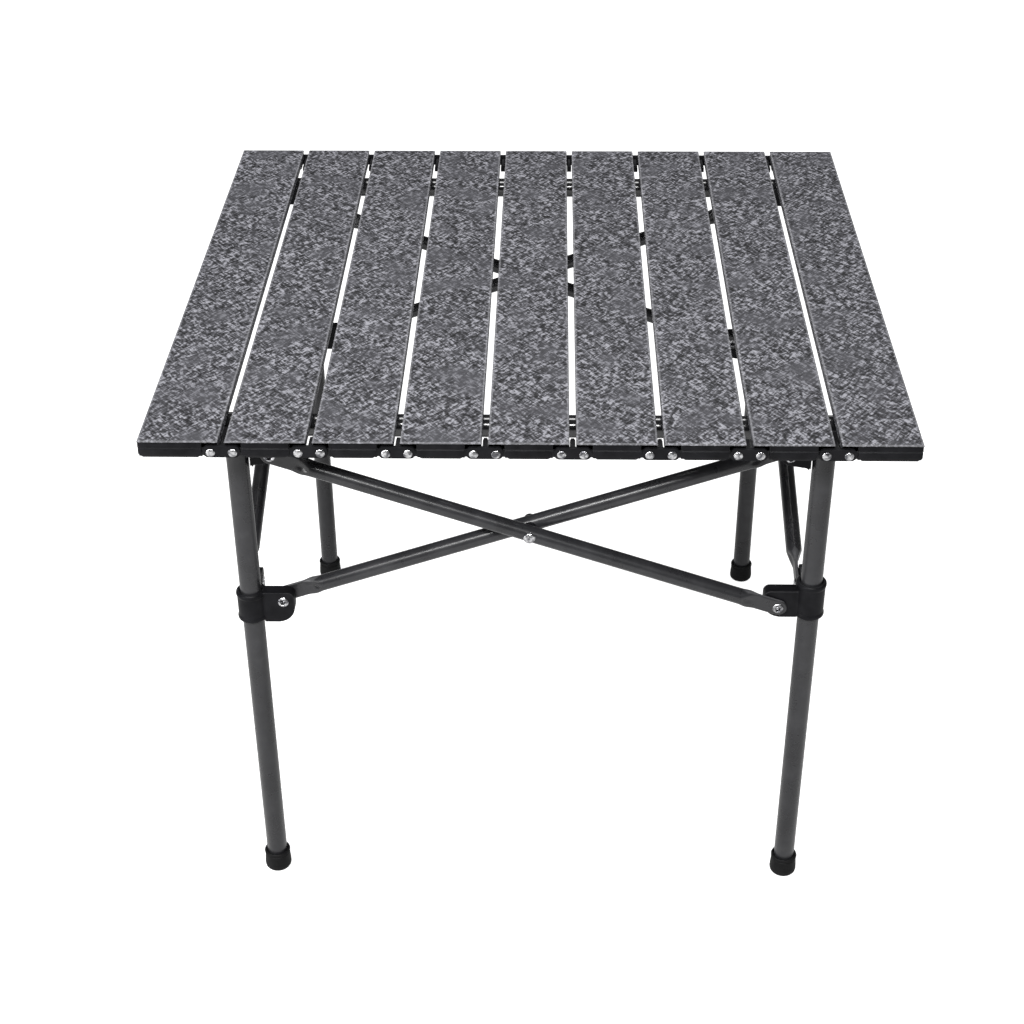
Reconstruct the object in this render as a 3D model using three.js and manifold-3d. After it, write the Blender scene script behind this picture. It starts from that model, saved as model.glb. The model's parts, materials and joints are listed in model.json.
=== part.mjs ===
// Folding side table: a roll-up top of nine channel slats on a four-legged scissor frame.
// Units are millimetres, +Z is up, and the origin is on the floor under the middle of the table.
// The frame repeats every quarter turn about Z, so each corner and each side is made once and turned.

import * as THREE from 'three';
import { mergeVertices } from 'three/addons/utils/BufferGeometryUtils.js';
import Module from 'manifold-3d';

const wasm = await Module();
wasm.setup();

// ---------------------------------------------------------------- driving dimensions

const TABLE_WIDTH = 530;            // X, across the slats
const TABLE_DEPTH = 510;            // Y, along the slats
const TABLE_HEIGHT = 435;           // Z, floor to slat tops
const FIT = 0.3;                    // clearance between pieces that touch

// tabletop
const SLAT_COUNT = 9;
const SLAT_WIDTH = 54.8;
const SLAT_DEPTH = 6.5;             // of the channel, walls included
const SLAT_SKIN = 1.2;              // top plate and side walls of the channel
const SLAT_PITCH = (TABLE_WIDTH - SLAT_WIDTH) / (SLAT_COUNT - 1);
const PLUG_LENGTH = 14;             // end plug, filling each end of the channel
const PLUG_DEPTH = 13;              // from the slat tops to the underside of the plug
const PLUG_DROP = 0.3;              // how far the plug's face hangs below the rest of it
const PLUG_CHAMFER = 3.2;
const PLUG_INSET = 0.4;             // plug's edges inside the slat's
const LINK_THICKNESS = 2.5;
const LINK_DROP = 8.8;              // link pivots below the slat tops
const LINK_REACH = 5;               // a link's ends beyond its pivots
const LINK_RISE = 5;                // and its top above them
const LINK_FALL = 3.8;              // and its bottom below them
const LINK_CORNER = 3.6;
const RIVET_SPACING = 15;           // between the two pivots of a link
const LINK_END_GAP = 1.1;           // between a link's end and the plug face

// frame
const LEG_SPACING = 414;            // between leg axes, both ways
const LEG_DIAMETER = 16;
const RAIL_DIAMETER = 16;           // crossbars that carry the slats
const RAIL_LENGTH = 500;
const RAIL_GAP = 0.4;               // clearance under the slats
const TUBE_WALL = 1.2;
const ARM_DIAMETER = 12;
const ARM_WALL = 1;
const ARM_OFFSET = 6.5;             // arm axis to the plane of the legs
const PIVOT_OFFSET = 24;            // leg axis to the arm pivots beside it
const TOP_PIVOT_Z = 398.5;
const COLLAR_PIVOT_Z = 270;
const ARM_END_RADIUS = 6.5;         // flattened end of an arm, round its pivot
const ARM_END_THICKNESS = 2.6;
const ARM_FLAT_LENGTH = 17;         // pivot to where the flattened end starts to swell
const ARM_SWELL_LENGTH = 30;        // pivot to where the arm is a full round tube
const ARM_HOLE_RADIUS = 2.3;
const CENTRE_HOLE_RADIUS = 2.6;
const CENTRE_PIN_RADIUS = 2.2;
const CENTRE_HEAD_RADIUS = 4.4;
const CENTRE_HEAD_THICKNESS = 1.5;

// plastic corner pieces
const RING_RADIUS = 11.2;
const LUG_THICKNESS = 10;
const BRACKET_BOTTOM_Z = 383.5;
const BRACKET_LUG_RADIUS = 6.5;
const BRACKET_LUG_DROP = 9.5;       // lug's root below the top pivots
const BRACKET_WEB = 8;              // plastic between the leg's end and the rail
const SADDLE_RISE = 3.9;            // saddle walls above the rail's axis
const SADDLE_FLOOR = 4;             // depth of the saddle block into the ring
// Collars come in two mouldings, one with its pivots near the top and one with them lower down.
// Heights are from the pivots, and reach is from the leg's axis to a lug's end.
const HIGH_PIVOT_COLLAR = { ringTop: 8.8, ringBottom: -16.4, lugTop: 8.1, lugBottom: -18.1, reach: 32.3 };
const LOW_PIVOT_COLLAR = { ringTop: 20.4, ringBottom: -9.8, lugTop: 13, lugBottom: -10, reach: 34.5 };

// feet and hooks
const FOOT_HEIGHT = 18;
const FOOT_RADIUS = 10.6;
const FOOT_TOP_RADIUS = 10;
const FOOT_FLOOR = 3;               // thickness of rubber under the tube
const HOOK_WIDTH = 24;
const HOOK_THICKNESS = 3;
const HOOK_LENGTH = 17;

const LEG_HALF = LEG_SPACING / 2;
const LEG_RADIUS = LEG_DIAMETER / 2;
const RAIL_RADIUS = RAIL_DIAMETER / 2;
const ARM_RADIUS = ARM_DIAMETER / 2;
const BORE_RADIUS = LEG_RADIUS + FIT;
const PLUG_BOTTOM_Z = TABLE_HEIGHT - PLUG_DEPTH;
const RAIL_Z = TABLE_HEIGHT - SLAT_DEPTH - RAIL_GAP - RAIL_RADIUS;
const LINK_Z = TABLE_HEIGHT - LINK_DROP;
const LEG_TOP_Z = RAIL_Z - RAIL_RADIUS - BRACKET_WEB;
const EDGE_Y = TABLE_DEPTH / 2;
const ARM_SPAN = LEG_SPACING - 2 * PIVOT_OFFSET;
const ARM_RISE = TOP_PIVOT_Z - COLLAR_PIVOT_Z;
const ARM_LENGTH = Math.hypot(ARM_SPAN, ARM_RISE);
const ARM_SLOPE = Math.atan2(ARM_RISE, ARM_SPAN);
const QUARTER = Math.PI / 2;
const ROUND_SIDES = 20;              // facets round tubes, rings and feet

// ---------------------------------------------------------------- materials

const MATERIALS = {
  slat: new THREE.MeshStandardMaterial({ color: 0x67676c, roughness: 0.6, metalness: 0.35 }),
  tube: new THREE.MeshStandardMaterial({ color: 0x35353a, roughness: 0.42, metalness: 0.4 }),
  rail: new THREE.MeshStandardMaterial({ color: 0x141416, roughness: 0.22, metalness: 0.4 }),
  plastic: new THREE.MeshStandardMaterial({ color: 0x121214, roughness: 0.5, metalness: 0 }),
  rubber: new THREE.MeshStandardMaterial({ color: 0x0d0d0e, roughness: 0.75, metalness: 0 }),
  rivet: new THREE.MeshStandardMaterial({ color: 0xc9c9cc, roughness: 0.25, metalness: 1 }),
};

// ---------------------------------------------------------------- solids

function solid(geometry, matrix) {
  const plain = geometry.clone();
  plain.deleteAttribute('normal');
  plain.deleteAttribute('uv');
  if (matrix) {
    plain.applyMatrix4(matrix);
  }
  const merged = mergeVertices(plain, 1e-4);
  return new wasm.Manifold(new wasm.Mesh({
    numProp: 3,
    vertProperties: new Float32Array(merged.attributes.position.array),
    triVerts: new Uint32Array(merged.index.array),
  }));
}

function geometryOf(manifold) {
  const mesh = manifold.getMesh();
  const geometry = new THREE.BufferGeometry();
  geometry.setAttribute('position', new THREE.BufferAttribute(mesh.vertProperties, 3));
  geometry.setIndex(new THREE.BufferAttribute(mesh.triVerts, 1));
  return geometry;
}

function block(x0, x1, y0, y1, z0, z1) {
  const geometry = new THREE.BoxGeometry(x1 - x0, y1 - y0, z1 - z0);
  geometry.translate((x0 + x1) / 2, (y0 + y1) / 2, (z0 + z1) / 2);
  return solid(geometry);
}

// A round bar from one point to another.
function bar(from, to, radius, sides = ROUND_SIDES) {
  const axis = to.clone().sub(from);
  const geometry = new THREE.CylinderGeometry(radius, radius, axis.length(), sides);
  const turn = new THREE.Quaternion().setFromUnitVectors(
    new THREE.Vector3(0, 1, 0),
    axis.clone().normalize(),
  );
  const middle = from.clone().add(to).multiplyScalar(0.5);
  return solid(geometry, new THREE.Matrix4().compose(middle, turn, new THREE.Vector3(1, 1, 1)));
}

function point(x, y, z) {
  return new THREE.Vector3(x, y, z);
}

// An outline drawn in X and Z, thickened along Y between y0 and y1.
function plate(shape, y0, y1) {
  const geometry = new THREE.ExtrudeGeometry(shape, {
    depth: y1 - y0,
    bevelEnabled: false,
    curveSegments: 4,
  });
  geometry.rotateX(QUARTER);
  geometry.translate(0, y1, 0);
  return solid(geometry);
}

// A tube that is open at both ends, along X, Y or Z from its centre.
function openTube(radius, wall, length, axis) {
  const half = length / 2;
  const outline = [
    new THREE.Vector2(radius, -half),
    new THREE.Vector2(radius, half),
    new THREE.Vector2(radius - wall, half),
    new THREE.Vector2(radius - wall, -half),
    new THREE.Vector2(radius, -half),
  ];
  const geometry = new THREE.LatheGeometry(outline, ROUND_SIDES);
  if (axis === 'x') {
    geometry.rotateZ(-QUARTER);
  }
  if (axis === 'z') {
    geometry.rotateX(QUARTER);
  }
  return solid(geometry);
}

const model = new THREE.Group();

function addPiece(parent, name, manifold, material, position = point(0, 0, 0)) {
  const mesh = new THREE.Mesh(geometryOf(manifold), material);
  mesh.name = name;
  mesh.position.copy(position);
  parent.add(mesh);
  return mesh;
}

// ---------------------------------------------------------------- tabletop

// Slats are drawn with Z = 0 at the underside of their end plugs.
function channelShape() {
  const half = SLAT_WIDTH / 2;
  const inner = half - SLAT_SKIN;
  const top = PLUG_DEPTH;
  const bottom = top - SLAT_DEPTH;
  const edge = 0.8;
  const shape = new THREE.Shape();
  shape.moveTo(-half, bottom);
  shape.lineTo(-inner, bottom);
  shape.lineTo(-inner, top - SLAT_SKIN);
  shape.lineTo(inner, top - SLAT_SKIN);
  shape.lineTo(inner, bottom);
  shape.lineTo(half, bottom);
  shape.lineTo(half, top - edge);
  shape.lineTo(half - edge, top);
  shape.lineTo(-half + edge, top);
  shape.lineTo(-half, top - edge);
  shape.closePath();
  return shape;
}

// The face of an end plug between its link pockets; a side without a link runs to the slat's edge.
function plugFace(leftLinked, rightLinked, y0, y1) {
  const pocketEdge = SLAT_WIDTH / 2 - linkInset() - LINK_REACH - LINK_END_GAP;
  const slatEdge = SLAT_WIDTH / 2 - PLUG_INSET;
  const left = leftLinked ? -pocketEdge : -slatEdge;
  const right = rightLinked ? pocketEdge : slatEdge;
  const shape = new THREE.Shape();
  shape.moveTo(left + PLUG_CHAMFER, -PLUG_DROP);
  shape.lineTo(right - PLUG_CHAMFER, -PLUG_DROP);
  shape.lineTo(right, -PLUG_DROP + PLUG_CHAMFER);
  shape.lineTo(right, PLUG_DEPTH - SLAT_SKIN / 2);
  shape.lineTo(left, PLUG_DEPTH - SLAT_SKIN / 2);
  shape.lineTo(left, -PLUG_DROP + PLUG_CHAMFER);
  shape.closePath();
  return plate(shape, y0, y1);
}

// Slat edge to the link pivot inside it.
function linkInset() {
  return (RIVET_SPACING - (SLAT_PITCH - SLAT_WIDTH)) / 2;
}

function slatSolid(leftLinked, rightLinked) {
  const half = SLAT_WIDTH / 2;
  const pocketDepth = LINK_THICKNESS + FIT;
  let slat = plate(channelShape(), -EDGE_Y, EDGE_Y);
  for (const side of [-1, 1]) {
    const outer = side * EDGE_Y;
    const behind = side * (EDGE_Y - pocketDepth);
    const inner = side * (EDGE_Y - PLUG_LENGTH);
    const filling = block(
      -half + SLAT_SKIN / 2,
      half - SLAT_SKIN / 2,
      Math.min(inner, behind),
      Math.max(inner, behind),
      PLUG_INSET,
      PLUG_DEPTH - SLAT_SKIN / 2,
    );
    const clearing = block(
      -half - 1,
      half + 1,
      Math.min(outer + side, behind),
      Math.max(outer + side, behind),
      -1,
      PLUG_DEPTH - SLAT_SKIN,
    );
    const face = plugFace(
      leftLinked,
      rightLinked,
      Math.min(outer, behind - side * 0.5),
      Math.max(outer, behind - side * 0.5),
    );
    slat = slat.add(filling).subtract(clearing).add(face);
  }
  return slat;
}

function linkSolid() {
  const side = RIVET_SPACING / 2 + LINK_REACH - LINK_CORNER;
  const top = LINK_RISE - LINK_CORNER;
  const bottom = LINK_CORNER - LINK_FALL;
  const shape = new THREE.Shape();
  shape.absarc(side, bottom, LINK_CORNER, -QUARTER, 0, false);
  shape.absarc(side, top, LINK_CORNER, 0, QUARTER, false);
  shape.absarc(-side, top, LINK_CORNER, QUARTER, 2 * QUARTER, false);
  shape.absarc(-side, bottom, LINK_CORNER, 2 * QUARTER, 3 * QUARTER, false);
  shape.closePath();
  return plate(shape, -LINK_THICKNESS / 2, LINK_THICKNESS / 2);
}

// An angle inside the end slats whose lip stands outside the rail and keeps the top from sliding.
function hookSolid() {
  const innerY = LEG_HALF + RAIL_RADIUS + FIT;
  const top = TABLE_HEIGHT - SLAT_SKIN - FIT;
  const half = HOOK_WIDTH / 2;
  const shelf = block(-half, half, -innerY - HOOK_LENGTH, -innerY, top - HOOK_THICKNESS, top);
  const tip = RAIL_Z - RAIL_RADIUS;
  const lip = block(-half, half, -innerY - HOOK_THICKNESS, -innerY, tip, top);
  return shelf.add(lip);
}

function slatX(index) {
  return (index - (SLAT_COUNT + 1) / 2) * SLAT_PITCH;
}

function makeTabletop() {
  const top = new THREE.Group();
  for (let index = 1; index <= SLAT_COUNT; index += 1) {
    const shape = slatSolid(index > 1, index < SLAT_COUNT);
    addPiece(top, `slat_${index}`, shape, MATERIALS.slat, point(slatX(index), 0, PLUG_BOTTOM_Z));
  }
  const link = linkSolid();
  const linkY = EDGE_Y - LINK_THICKNESS / 2;
  for (let gap = 1; gap < SLAT_COUNT; gap += 1) {
    const x = (slatX(gap) + slatX(gap + 1)) / 2;
    addPiece(top, `link_front_${gap}`, link, MATERIALS.plastic, point(x, -linkY, LINK_Z));
    addPiece(top, `link_rear_${gap}`, link, MATERIALS.plastic, point(x, linkY, LINK_Z));
  }
  const hook = hookSolid();
  for (const [side, index] of [['left', 1], ['right', SLAT_COUNT]]) {
    const x = slatX(index);
    addPiece(top, `hook_front_${side}`, hook, MATERIALS.plastic, point(x, 0, 0));
    const rear = addPiece(top, `hook_rear_${side}`, hook, MATERIALS.plastic, point(x, 0, 0));
    rear.rotation.z = Math.PI;
  }
  return top;
}

// ---------------------------------------------------------------- rails

function makeRails() {
  const rails = new THREE.Group();
  const tube = openTube(RAIL_RADIUS, TUBE_WALL, RAIL_LENGTH, 'x');
  addPiece(rails, 'crossbar_front', tube, MATERIALS.rail, point(0, -LEG_HALF, RAIL_Z));
  addPiece(rails, 'crossbar_rear', tube, MATERIALS.rail, point(0, LEG_HALF, RAIL_Z));
  return rails;
}

// ---------------------------------------------------------------- corner pieces
// A corner is drawn with its leg on the Z axis and its two lugs towards +X and +Y.

// A lug drawn towards +X, in the plane of the leg.
function alongX(shape) {
  return plate(shape, -LUG_THICKNESS / 2, LUG_THICKNESS / 2);
}

// A solid drawn towards +X, turned a quarter so that it points towards +Y.
function towardsY(drawn) {
  return drawn.rotate([0, 0, 90]);
}

function pivotHole(z) {
  const half = LUG_THICKNESS;
  return bar(point(PIVOT_OFFSET, -half, z), point(PIVOT_OFFSET, half, z), ARM_HOLE_RADIUS, 8);
}

function bracketLug() {
  const shape = new THREE.Shape();
  shape.moveTo(BORE_RADIUS + 1, TOP_PIVOT_Z - BRACKET_LUG_DROP);
  shape.lineTo(PIVOT_OFFSET - 3, TOP_PIVOT_Z - BRACKET_LUG_DROP + 2);
  shape.absarc(PIVOT_OFFSET, TOP_PIVOT_Z, BRACKET_LUG_RADIUS, -QUARTER, QUARTER, false);
  shape.lineTo(BORE_RADIUS + 1, TOP_PIVOT_Z + BRACKET_LUG_RADIUS);
  shape.closePath();
  return alongX(shape).subtract(pivotHole(TOP_PIVOT_Z));
}

function collarLug({ lugTop, lugBottom, reach }) {
  const shape = new THREE.Shape();
  const corner = 5;
  const sweep = 13;
  shape.moveTo(BORE_RADIUS + 1, lugBottom);
  shape.absarc(reach - sweep, lugBottom + sweep, sweep, -QUARTER, 0, false);
  shape.absarc(reach - corner, lugTop - corner, corner, 0, QUARTER, false);
  shape.lineTo(BORE_RADIUS + 1, lugTop);
  shape.closePath();
  return alongX(shape).subtract(pivotHole(0));
}

// The cap on a leg's top, with a saddle for the rail along X or Y and a lug for each side's arm.
function bracketSolid(railAxis) {
  const webTop = RAIL_Z - RAIL_RADIUS - FIT;
  const ring = bar(point(0, 0, BRACKET_BOTTOM_Z), point(0, 0, webTop), RING_RADIUS);
  const socket = bar(point(0, 0, BRACKET_BOTTOM_Z - 1), point(0, 0, LEG_TOP_Z + FIT), BORE_RADIUS);
  const side = RING_RADIUS;
  const wallTop = RAIL_Z + SADDLE_RISE;
  const saddle = block(-side, side, -side, side, webTop - SADDLE_FLOOR, wallTop);
  const reach = 2 * RING_RADIUS;
  const seat = RAIL_RADIUS + FIT;
  const bed = bar(point(-reach, 0, RAIL_Z), point(reach, 0, RAIL_Z), seat);
  const mouth = block(-reach, reach, -seat, seat, RAIL_Z, wallTop + 1);
  let cradle = saddle.subtract(bed).subtract(mouth);
  if (railAxis === 'y') {
    cradle = cradle.rotate([0, 0, 90]);
  }
  const lug = bracketLug();
  return ring.add(lug).add(towardsY(lug)).add(cradle).subtract(socket);
}

function collarSolid(kind) {
  const { ringTop, ringBottom } = kind;
  const ring = bar(point(0, 0, ringBottom), point(0, 0, ringTop), RING_RADIUS);
  const bore = bar(point(0, 0, ringBottom - 1), point(0, 0, ringTop + 1), BORE_RADIUS);
  const lug = collarLug(kind);
  return ring.add(lug).add(towardsY(lug)).subtract(bore);
}

function footSolid() {
  const outline = [
    new THREE.Vector2(0, 0),
    new THREE.Vector2(FOOT_RADIUS - 3, 0),
    new THREE.Vector2(FOOT_RADIUS - 0.9, 0.9),
    new THREE.Vector2(FOOT_RADIUS, 3),
    new THREE.Vector2(FOOT_TOP_RADIUS, FOOT_HEIGHT),
    new THREE.Vector2(BORE_RADIUS, FOOT_HEIGHT),
    new THREE.Vector2(BORE_RADIUS, FOOT_FLOOR),
    new THREE.Vector2(0, FOOT_FLOOR),
  ];
  const geometry = new THREE.LatheGeometry(outline, ROUND_SIDES);
  geometry.rotateX(QUARTER);
  return solid(geometry);
}

// Corners in order of quarter turns from the front left, with the axis of the rail in each one's frame.
const CORNERS = [
  { name: 'front_left', railAxis: 'x', collar: HIGH_PIVOT_COLLAR },
  { name: 'front_right', railAxis: 'y', collar: LOW_PIVOT_COLLAR },
  { name: 'rear_right', railAxis: 'x', collar: HIGH_PIVOT_COLLAR },
  { name: 'rear_left', railAxis: 'y', collar: LOW_PIVOT_COLLAR },
];

function makeCorner(corner, turn) {
  const quarter = new THREE.Group();
  quarter.rotation.z = turn * QUARTER;
  const place = point(-LEG_HALF, -LEG_HALF, 0);
  const legBottom = FOOT_FLOOR + FIT;
  const legLength = LEG_TOP_Z - legBottom;
  const leg = openTube(LEG_RADIUS, TUBE_WALL, legLength, 'z');
  const legPlace = place.clone().setZ(legBottom + legLength / 2);
  const bracket = bracketSolid(corner.railAxis);
  const collar = collarSolid(corner.collar);
  const collarPlace = place.clone().setZ(COLLAR_PIVOT_Z);
  addPiece(quarter, `leg_${corner.name}`, leg, MATERIALS.tube, legPlace);
  addPiece(quarter, `foot_${corner.name}`, footSolid(), MATERIALS.rubber, place);
  addPiece(quarter, `bracket_${corner.name}`, bracket, MATERIALS.plastic, place);
  addPiece(quarter, `collar_${corner.name}`, collar, MATERIALS.plastic, collarPlace);
  return quarter;
}

// ---------------------------------------------------------------- scissor arms
// An arm lies along X about its centre, with its pivots at plus and minus half its length along Y.

// A closed skin through oval sections: each has a place along X, a half width and a half thickness.
function ovalSkin(sections, sides) {
  const positions = [];
  const index = [];
  for (const { x, wide, thick } of sections) {
    for (let step = 0; step < sides; step += 1) {
      const angle = (2 * Math.PI * step) / sides;
      positions.push(x, thick * Math.sin(angle), wide * Math.cos(angle));
    }
  }
  for (let ring = 0; ring < sections.length - 1; ring += 1) {
    for (let step = 0; step < sides; step += 1) {
      const a = ring * sides + step;
      const b = ring * sides + ((step + 1) % sides);
      index.push(a, a + sides, b);
      index.push(b, a + sides, b + sides);
    }
  }
  const last = (sections.length - 1) * sides;
  for (let step = 1; step < sides - 1; step += 1) {
    index.push(0, step, step + 1);
    index.push(last, last + step + 1, last + step);
  }
  const geometry = new THREE.BufferGeometry();
  geometry.setAttribute('position', new THREE.Float32BufferAttribute(positions, 3));
  geometry.setIndex(index);
  return solid(geometry);
}

function mirroredSections(half) {
  const other = half.map((section) => ({ ...section, x: -section.x }));
  return half.concat(other.reverse());
}

// The flattened end of an arm: a tongue with a round tip about its pivot.
function armTongue(pivot, end) {
  const flat = ARM_END_THICKNESS / 2;
  const inward = pivot - end * (ARM_FLAT_LENGTH + 1);
  const start = end > 0 ? -QUARTER : QUARTER;
  const shape = new THREE.Shape();
  shape.absarc(pivot, 0, ARM_END_RADIUS, start, start + Math.PI, false);
  shape.lineTo(inward, end * ARM_END_RADIUS);
  shape.lineTo(inward, -end * ARM_END_RADIUS);
  shape.closePath();
  return plate(shape, -flat, flat);
}

// A hole through the arm along Y.
function crossHole(x, radius) {
  return bar(point(x, -ARM_DIAMETER, 0), point(x, ARM_DIAMETER, 0), radius, 8);
}

function armSolid() {
  const half = ARM_LENGTH / 2;
  const flat = ARM_END_THICKNESS / 2;
  const swollen = -half + ARM_SWELL_LENGTH;
  const inside = ARM_RADIUS - ARM_WALL;
  const sides = 12;
  const skin = ovalSkin(mirroredSections([
    { x: -half + ARM_FLAT_LENGTH, wide: ARM_END_RADIUS - 0.1, thick: flat + 0.2 },
    { x: swollen, wide: ARM_RADIUS, thick: ARM_RADIUS },
  ]), sides);
  const hollow = ovalSkin(mirroredSections([
    { x: -half + ARM_FLAT_LENGTH + 6, wide: inside - 2, thick: 0.8 },
    { x: swollen, wide: inside, thick: inside },
  ]), sides);
  let arm = skin.add(armTongue(-half, -1)).add(armTongue(half, 1)).subtract(hollow);
  for (const pivot of [-half, half]) {
    arm = arm.subtract(crossHole(pivot, ARM_HOLE_RADIUS));
  }
  return arm.subtract(crossHole(0, CENTRE_HOLE_RADIUS));
}

// The rivet where a pair of arms cross, with a head outside each arm.
function centreRivetSolid() {
  const reach = ARM_OFFSET + ARM_RADIUS + FIT;
  const pin = bar(point(0, -reach, 0), point(0, reach, 0), CENTRE_PIN_RADIUS, 8);
  const outside = reach + CENTRE_HEAD_THICKNESS;
  const front = bar(point(0, -outside, 0), point(0, -reach, 0), CENTRE_HEAD_RADIUS, 12);
  const back = bar(point(0, reach, 0), point(0, outside, 0), CENTRE_HEAD_RADIUS, 12);
  return pin.add(front).add(back);
}

const SIDES = ['front', 'right', 'rear', 'left'];

function makeSide(side, turn) {
  const quarter = new THREE.Group();
  quarter.rotation.z = turn * QUARTER;
  const middleZ = (TOP_PIVOT_Z + COLLAR_PIVOT_Z) / 2;
  const arm = armSolid();
  const outerPlace = point(0, -LEG_HALF - ARM_OFFSET, middleZ);
  const innerPlace = point(0, -LEG_HALF + ARM_OFFSET, middleZ);
  const outer = addPiece(quarter, `arm_${side}_outer`, arm, MATERIALS.tube, outerPlace);
  outer.rotation.y = ARM_SLOPE;
  const inner = addPiece(quarter, `arm_${side}_inner`, arm, MATERIALS.tube, innerPlace);
  inner.rotation.y = -ARM_SLOPE;
  const rivetPlace = point(0, -LEG_HALF, middleZ);
  addPiece(quarter, `centre_rivet_${side}`, centreRivetSolid(), MATERIALS.rivet, rivetPlace);
  return quarter;
}

// ---------------------------------------------------------------- assembly

model.add(makeTabletop());
model.add(makeRails());
CORNERS.forEach((corner, turn) => model.add(makeCorner(corner, turn)));
SIDES.forEach((side, turn) => model.add(makeSide(side, turn)));

export default model;
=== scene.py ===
import json
import math

import bmesh
import bpy
from mathutils import Matrix, Vector


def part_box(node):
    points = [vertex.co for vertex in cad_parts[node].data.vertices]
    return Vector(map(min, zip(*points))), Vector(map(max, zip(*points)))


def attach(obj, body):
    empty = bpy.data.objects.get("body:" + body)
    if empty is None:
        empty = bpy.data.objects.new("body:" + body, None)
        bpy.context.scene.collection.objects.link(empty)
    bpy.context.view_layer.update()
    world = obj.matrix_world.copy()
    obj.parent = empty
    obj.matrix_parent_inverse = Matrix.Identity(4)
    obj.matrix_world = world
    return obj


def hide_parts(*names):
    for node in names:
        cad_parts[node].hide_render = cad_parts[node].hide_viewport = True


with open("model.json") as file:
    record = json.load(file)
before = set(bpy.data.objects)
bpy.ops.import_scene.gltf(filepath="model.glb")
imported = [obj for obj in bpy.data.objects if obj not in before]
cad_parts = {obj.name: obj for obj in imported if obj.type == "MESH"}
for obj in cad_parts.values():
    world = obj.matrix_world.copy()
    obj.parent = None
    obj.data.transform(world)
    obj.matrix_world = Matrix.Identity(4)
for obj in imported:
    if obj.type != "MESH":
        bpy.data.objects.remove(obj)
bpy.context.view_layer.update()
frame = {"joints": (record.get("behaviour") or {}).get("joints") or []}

# Looks for the folding side table. Shapes are drawn in millimetres and scaled to metres.
# The frame of the table repeats every quarter turn, so each corner and side is made once and turned.

scene = bpy.context.scene
MM = 0.001
JOINTS = {joint["name"]: joint for joint in frame["joints"]}
CORNERS = ["front_left", "front_right", "rear_right", "rear_left"]
SIDES = ["front", "right", "rear", "left"]
ROUND = 64                      # facets round the tubes


def box_mm(node):
    low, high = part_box(node)
    return low / MM, high / MM


def pivot_mm(joint):
    return Vector(JOINTS[joint]["pos_m"]) / MM


# ---------------------------------------------------------------- places read from the frame

slat_low, slat_high = box_mm("slat_5")
SLAT_HALF = (slat_high.x - slat_low.x) / 2
END_Y = slat_high.y
TOP_Z = slat_high.z
THICKNESS = 13.0                # slat tops to the underside of the end plugs
SLAT_BASE = TOP_Z - THICKNESS
SLAT_DEPTH = 6.5                # depth of the slat's channel
SKIN = 1.2                      # wall of the slat's channel
SLAT_COUNT = 9

link_low, link_high = box_mm("link_front_5")
LINK_PIVOT = pivot_mm("link_5_hinge")
LINK_X = (link_low.x + link_high.x) / 2
LINK_Y = (link_low.y + link_high.y) / 2
LINK_DEPTH = link_high.y - link_low.y
LINK_HALF_SPAN = LINK_X - LINK_PIVOT.x
LINK_REACH = link_high.x - LINK_X - LINK_HALF_SPAN

leg_low, leg_high = box_mm("leg_front_left")
LEG_RADIUS = (leg_high.x - leg_low.x) / 2
LEG_HALF = -(leg_high.x + leg_low.x) / 2
rail_low, rail_high = box_mm("crossbar_front")
RAIL_RADIUS = (rail_high.z - rail_low.z) / 2
RAIL_Z = (rail_high.z + rail_low.z) / 2

top_pivot = pivot_mm("frame_fold")
collar_pivot = pivot_mm("front_left_collar")
PIVOT_OFFSET = LEG_HALF + top_pivot.x
TOP_PIVOT_Z = top_pivot.z
COLLAR_Z = collar_pivot.z
ARM_OFFSET = -LEG_HALF - top_pivot.y
ARM_SPAN = -2 * top_pivot.x
ARM_RISE = TOP_PIVOT_Z - COLLAR_Z
ARM_HALF = math.hypot(ARM_SPAN, ARM_RISE) / 2
ARM_SLOPE = math.atan2(ARM_RISE, ARM_SPAN)
FIT = 0.3
BORE = LEG_RADIUS + FIT
QUARTER = math.pi / 2


# ---------------------------------------------------------------- node materials

def add_node(tree, kind, inputs=None, **settings):
    node = tree.nodes.new(kind)
    for key, value in settings.items():
        setattr(node, key, value)
    for key, value in (inputs or {}).items():
        if isinstance(value, bpy.types.NodeSocket):
            tree.links.new(value, node.inputs[key])
        else:
            node.inputs[key].default_value = value
    return node


def noise(tree, place, scale, detail=2.0, roughness=0.5, distortion=0.0):
    values = {
        "Vector": place, "Scale": scale, "Detail": detail,
        "Roughness": roughness, "Distortion": distortion,
    }
    return add_node(tree, "ShaderNodeTexNoise", values).outputs["Fac"]


def ramp(tree, factor, stops):
    node = add_node(tree, "ShaderNodeValToRGB", {"Fac": factor})
    elements = node.color_ramp.elements
    while len(elements) < len(stops):
        elements.new(0.5)
    for element, (position, colour) in zip(elements, stops):
        element.position = position
        element.color = (*colour, 1.0)
    return node.outputs["Color"]


def grey(value, blue=0.0):
    return (value, value, value * (1 + blue))


def maths(tree, operation, first, second):
    node = add_node(tree, "ShaderNodeMath", operation=operation)
    for socket, value in zip(node.inputs, (first, second)):
        if isinstance(value, bpy.types.NodeSocket):
            tree.links.new(value, socket)
        else:
            socket.default_value = value
    return node.outputs[0]


def remap(tree, value, low, high):
    """Spreads a 0 to 1 value between low and high."""
    inputs = {"Value": value, "To Min": low, "To Max": high}
    return add_node(tree, "ShaderNodeMapRange", inputs).outputs["Result"]


def mixed(tree, factor, first, second, blend="MIX"):
    node = add_node(tree, "ShaderNodeMix", data_type="RGBA", blend_type=blend)
    for socket, value in ((node.inputs[0], factor), (node.inputs[6], first), (node.inputs[7], second)):
        if isinstance(value, bpy.types.NodeSocket):
            tree.links.new(value, socket)
        elif isinstance(value, tuple):
            socket.default_value = (*value, 1.0)
        else:
            socket.default_value = value
    return node.outputs[2]


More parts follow.
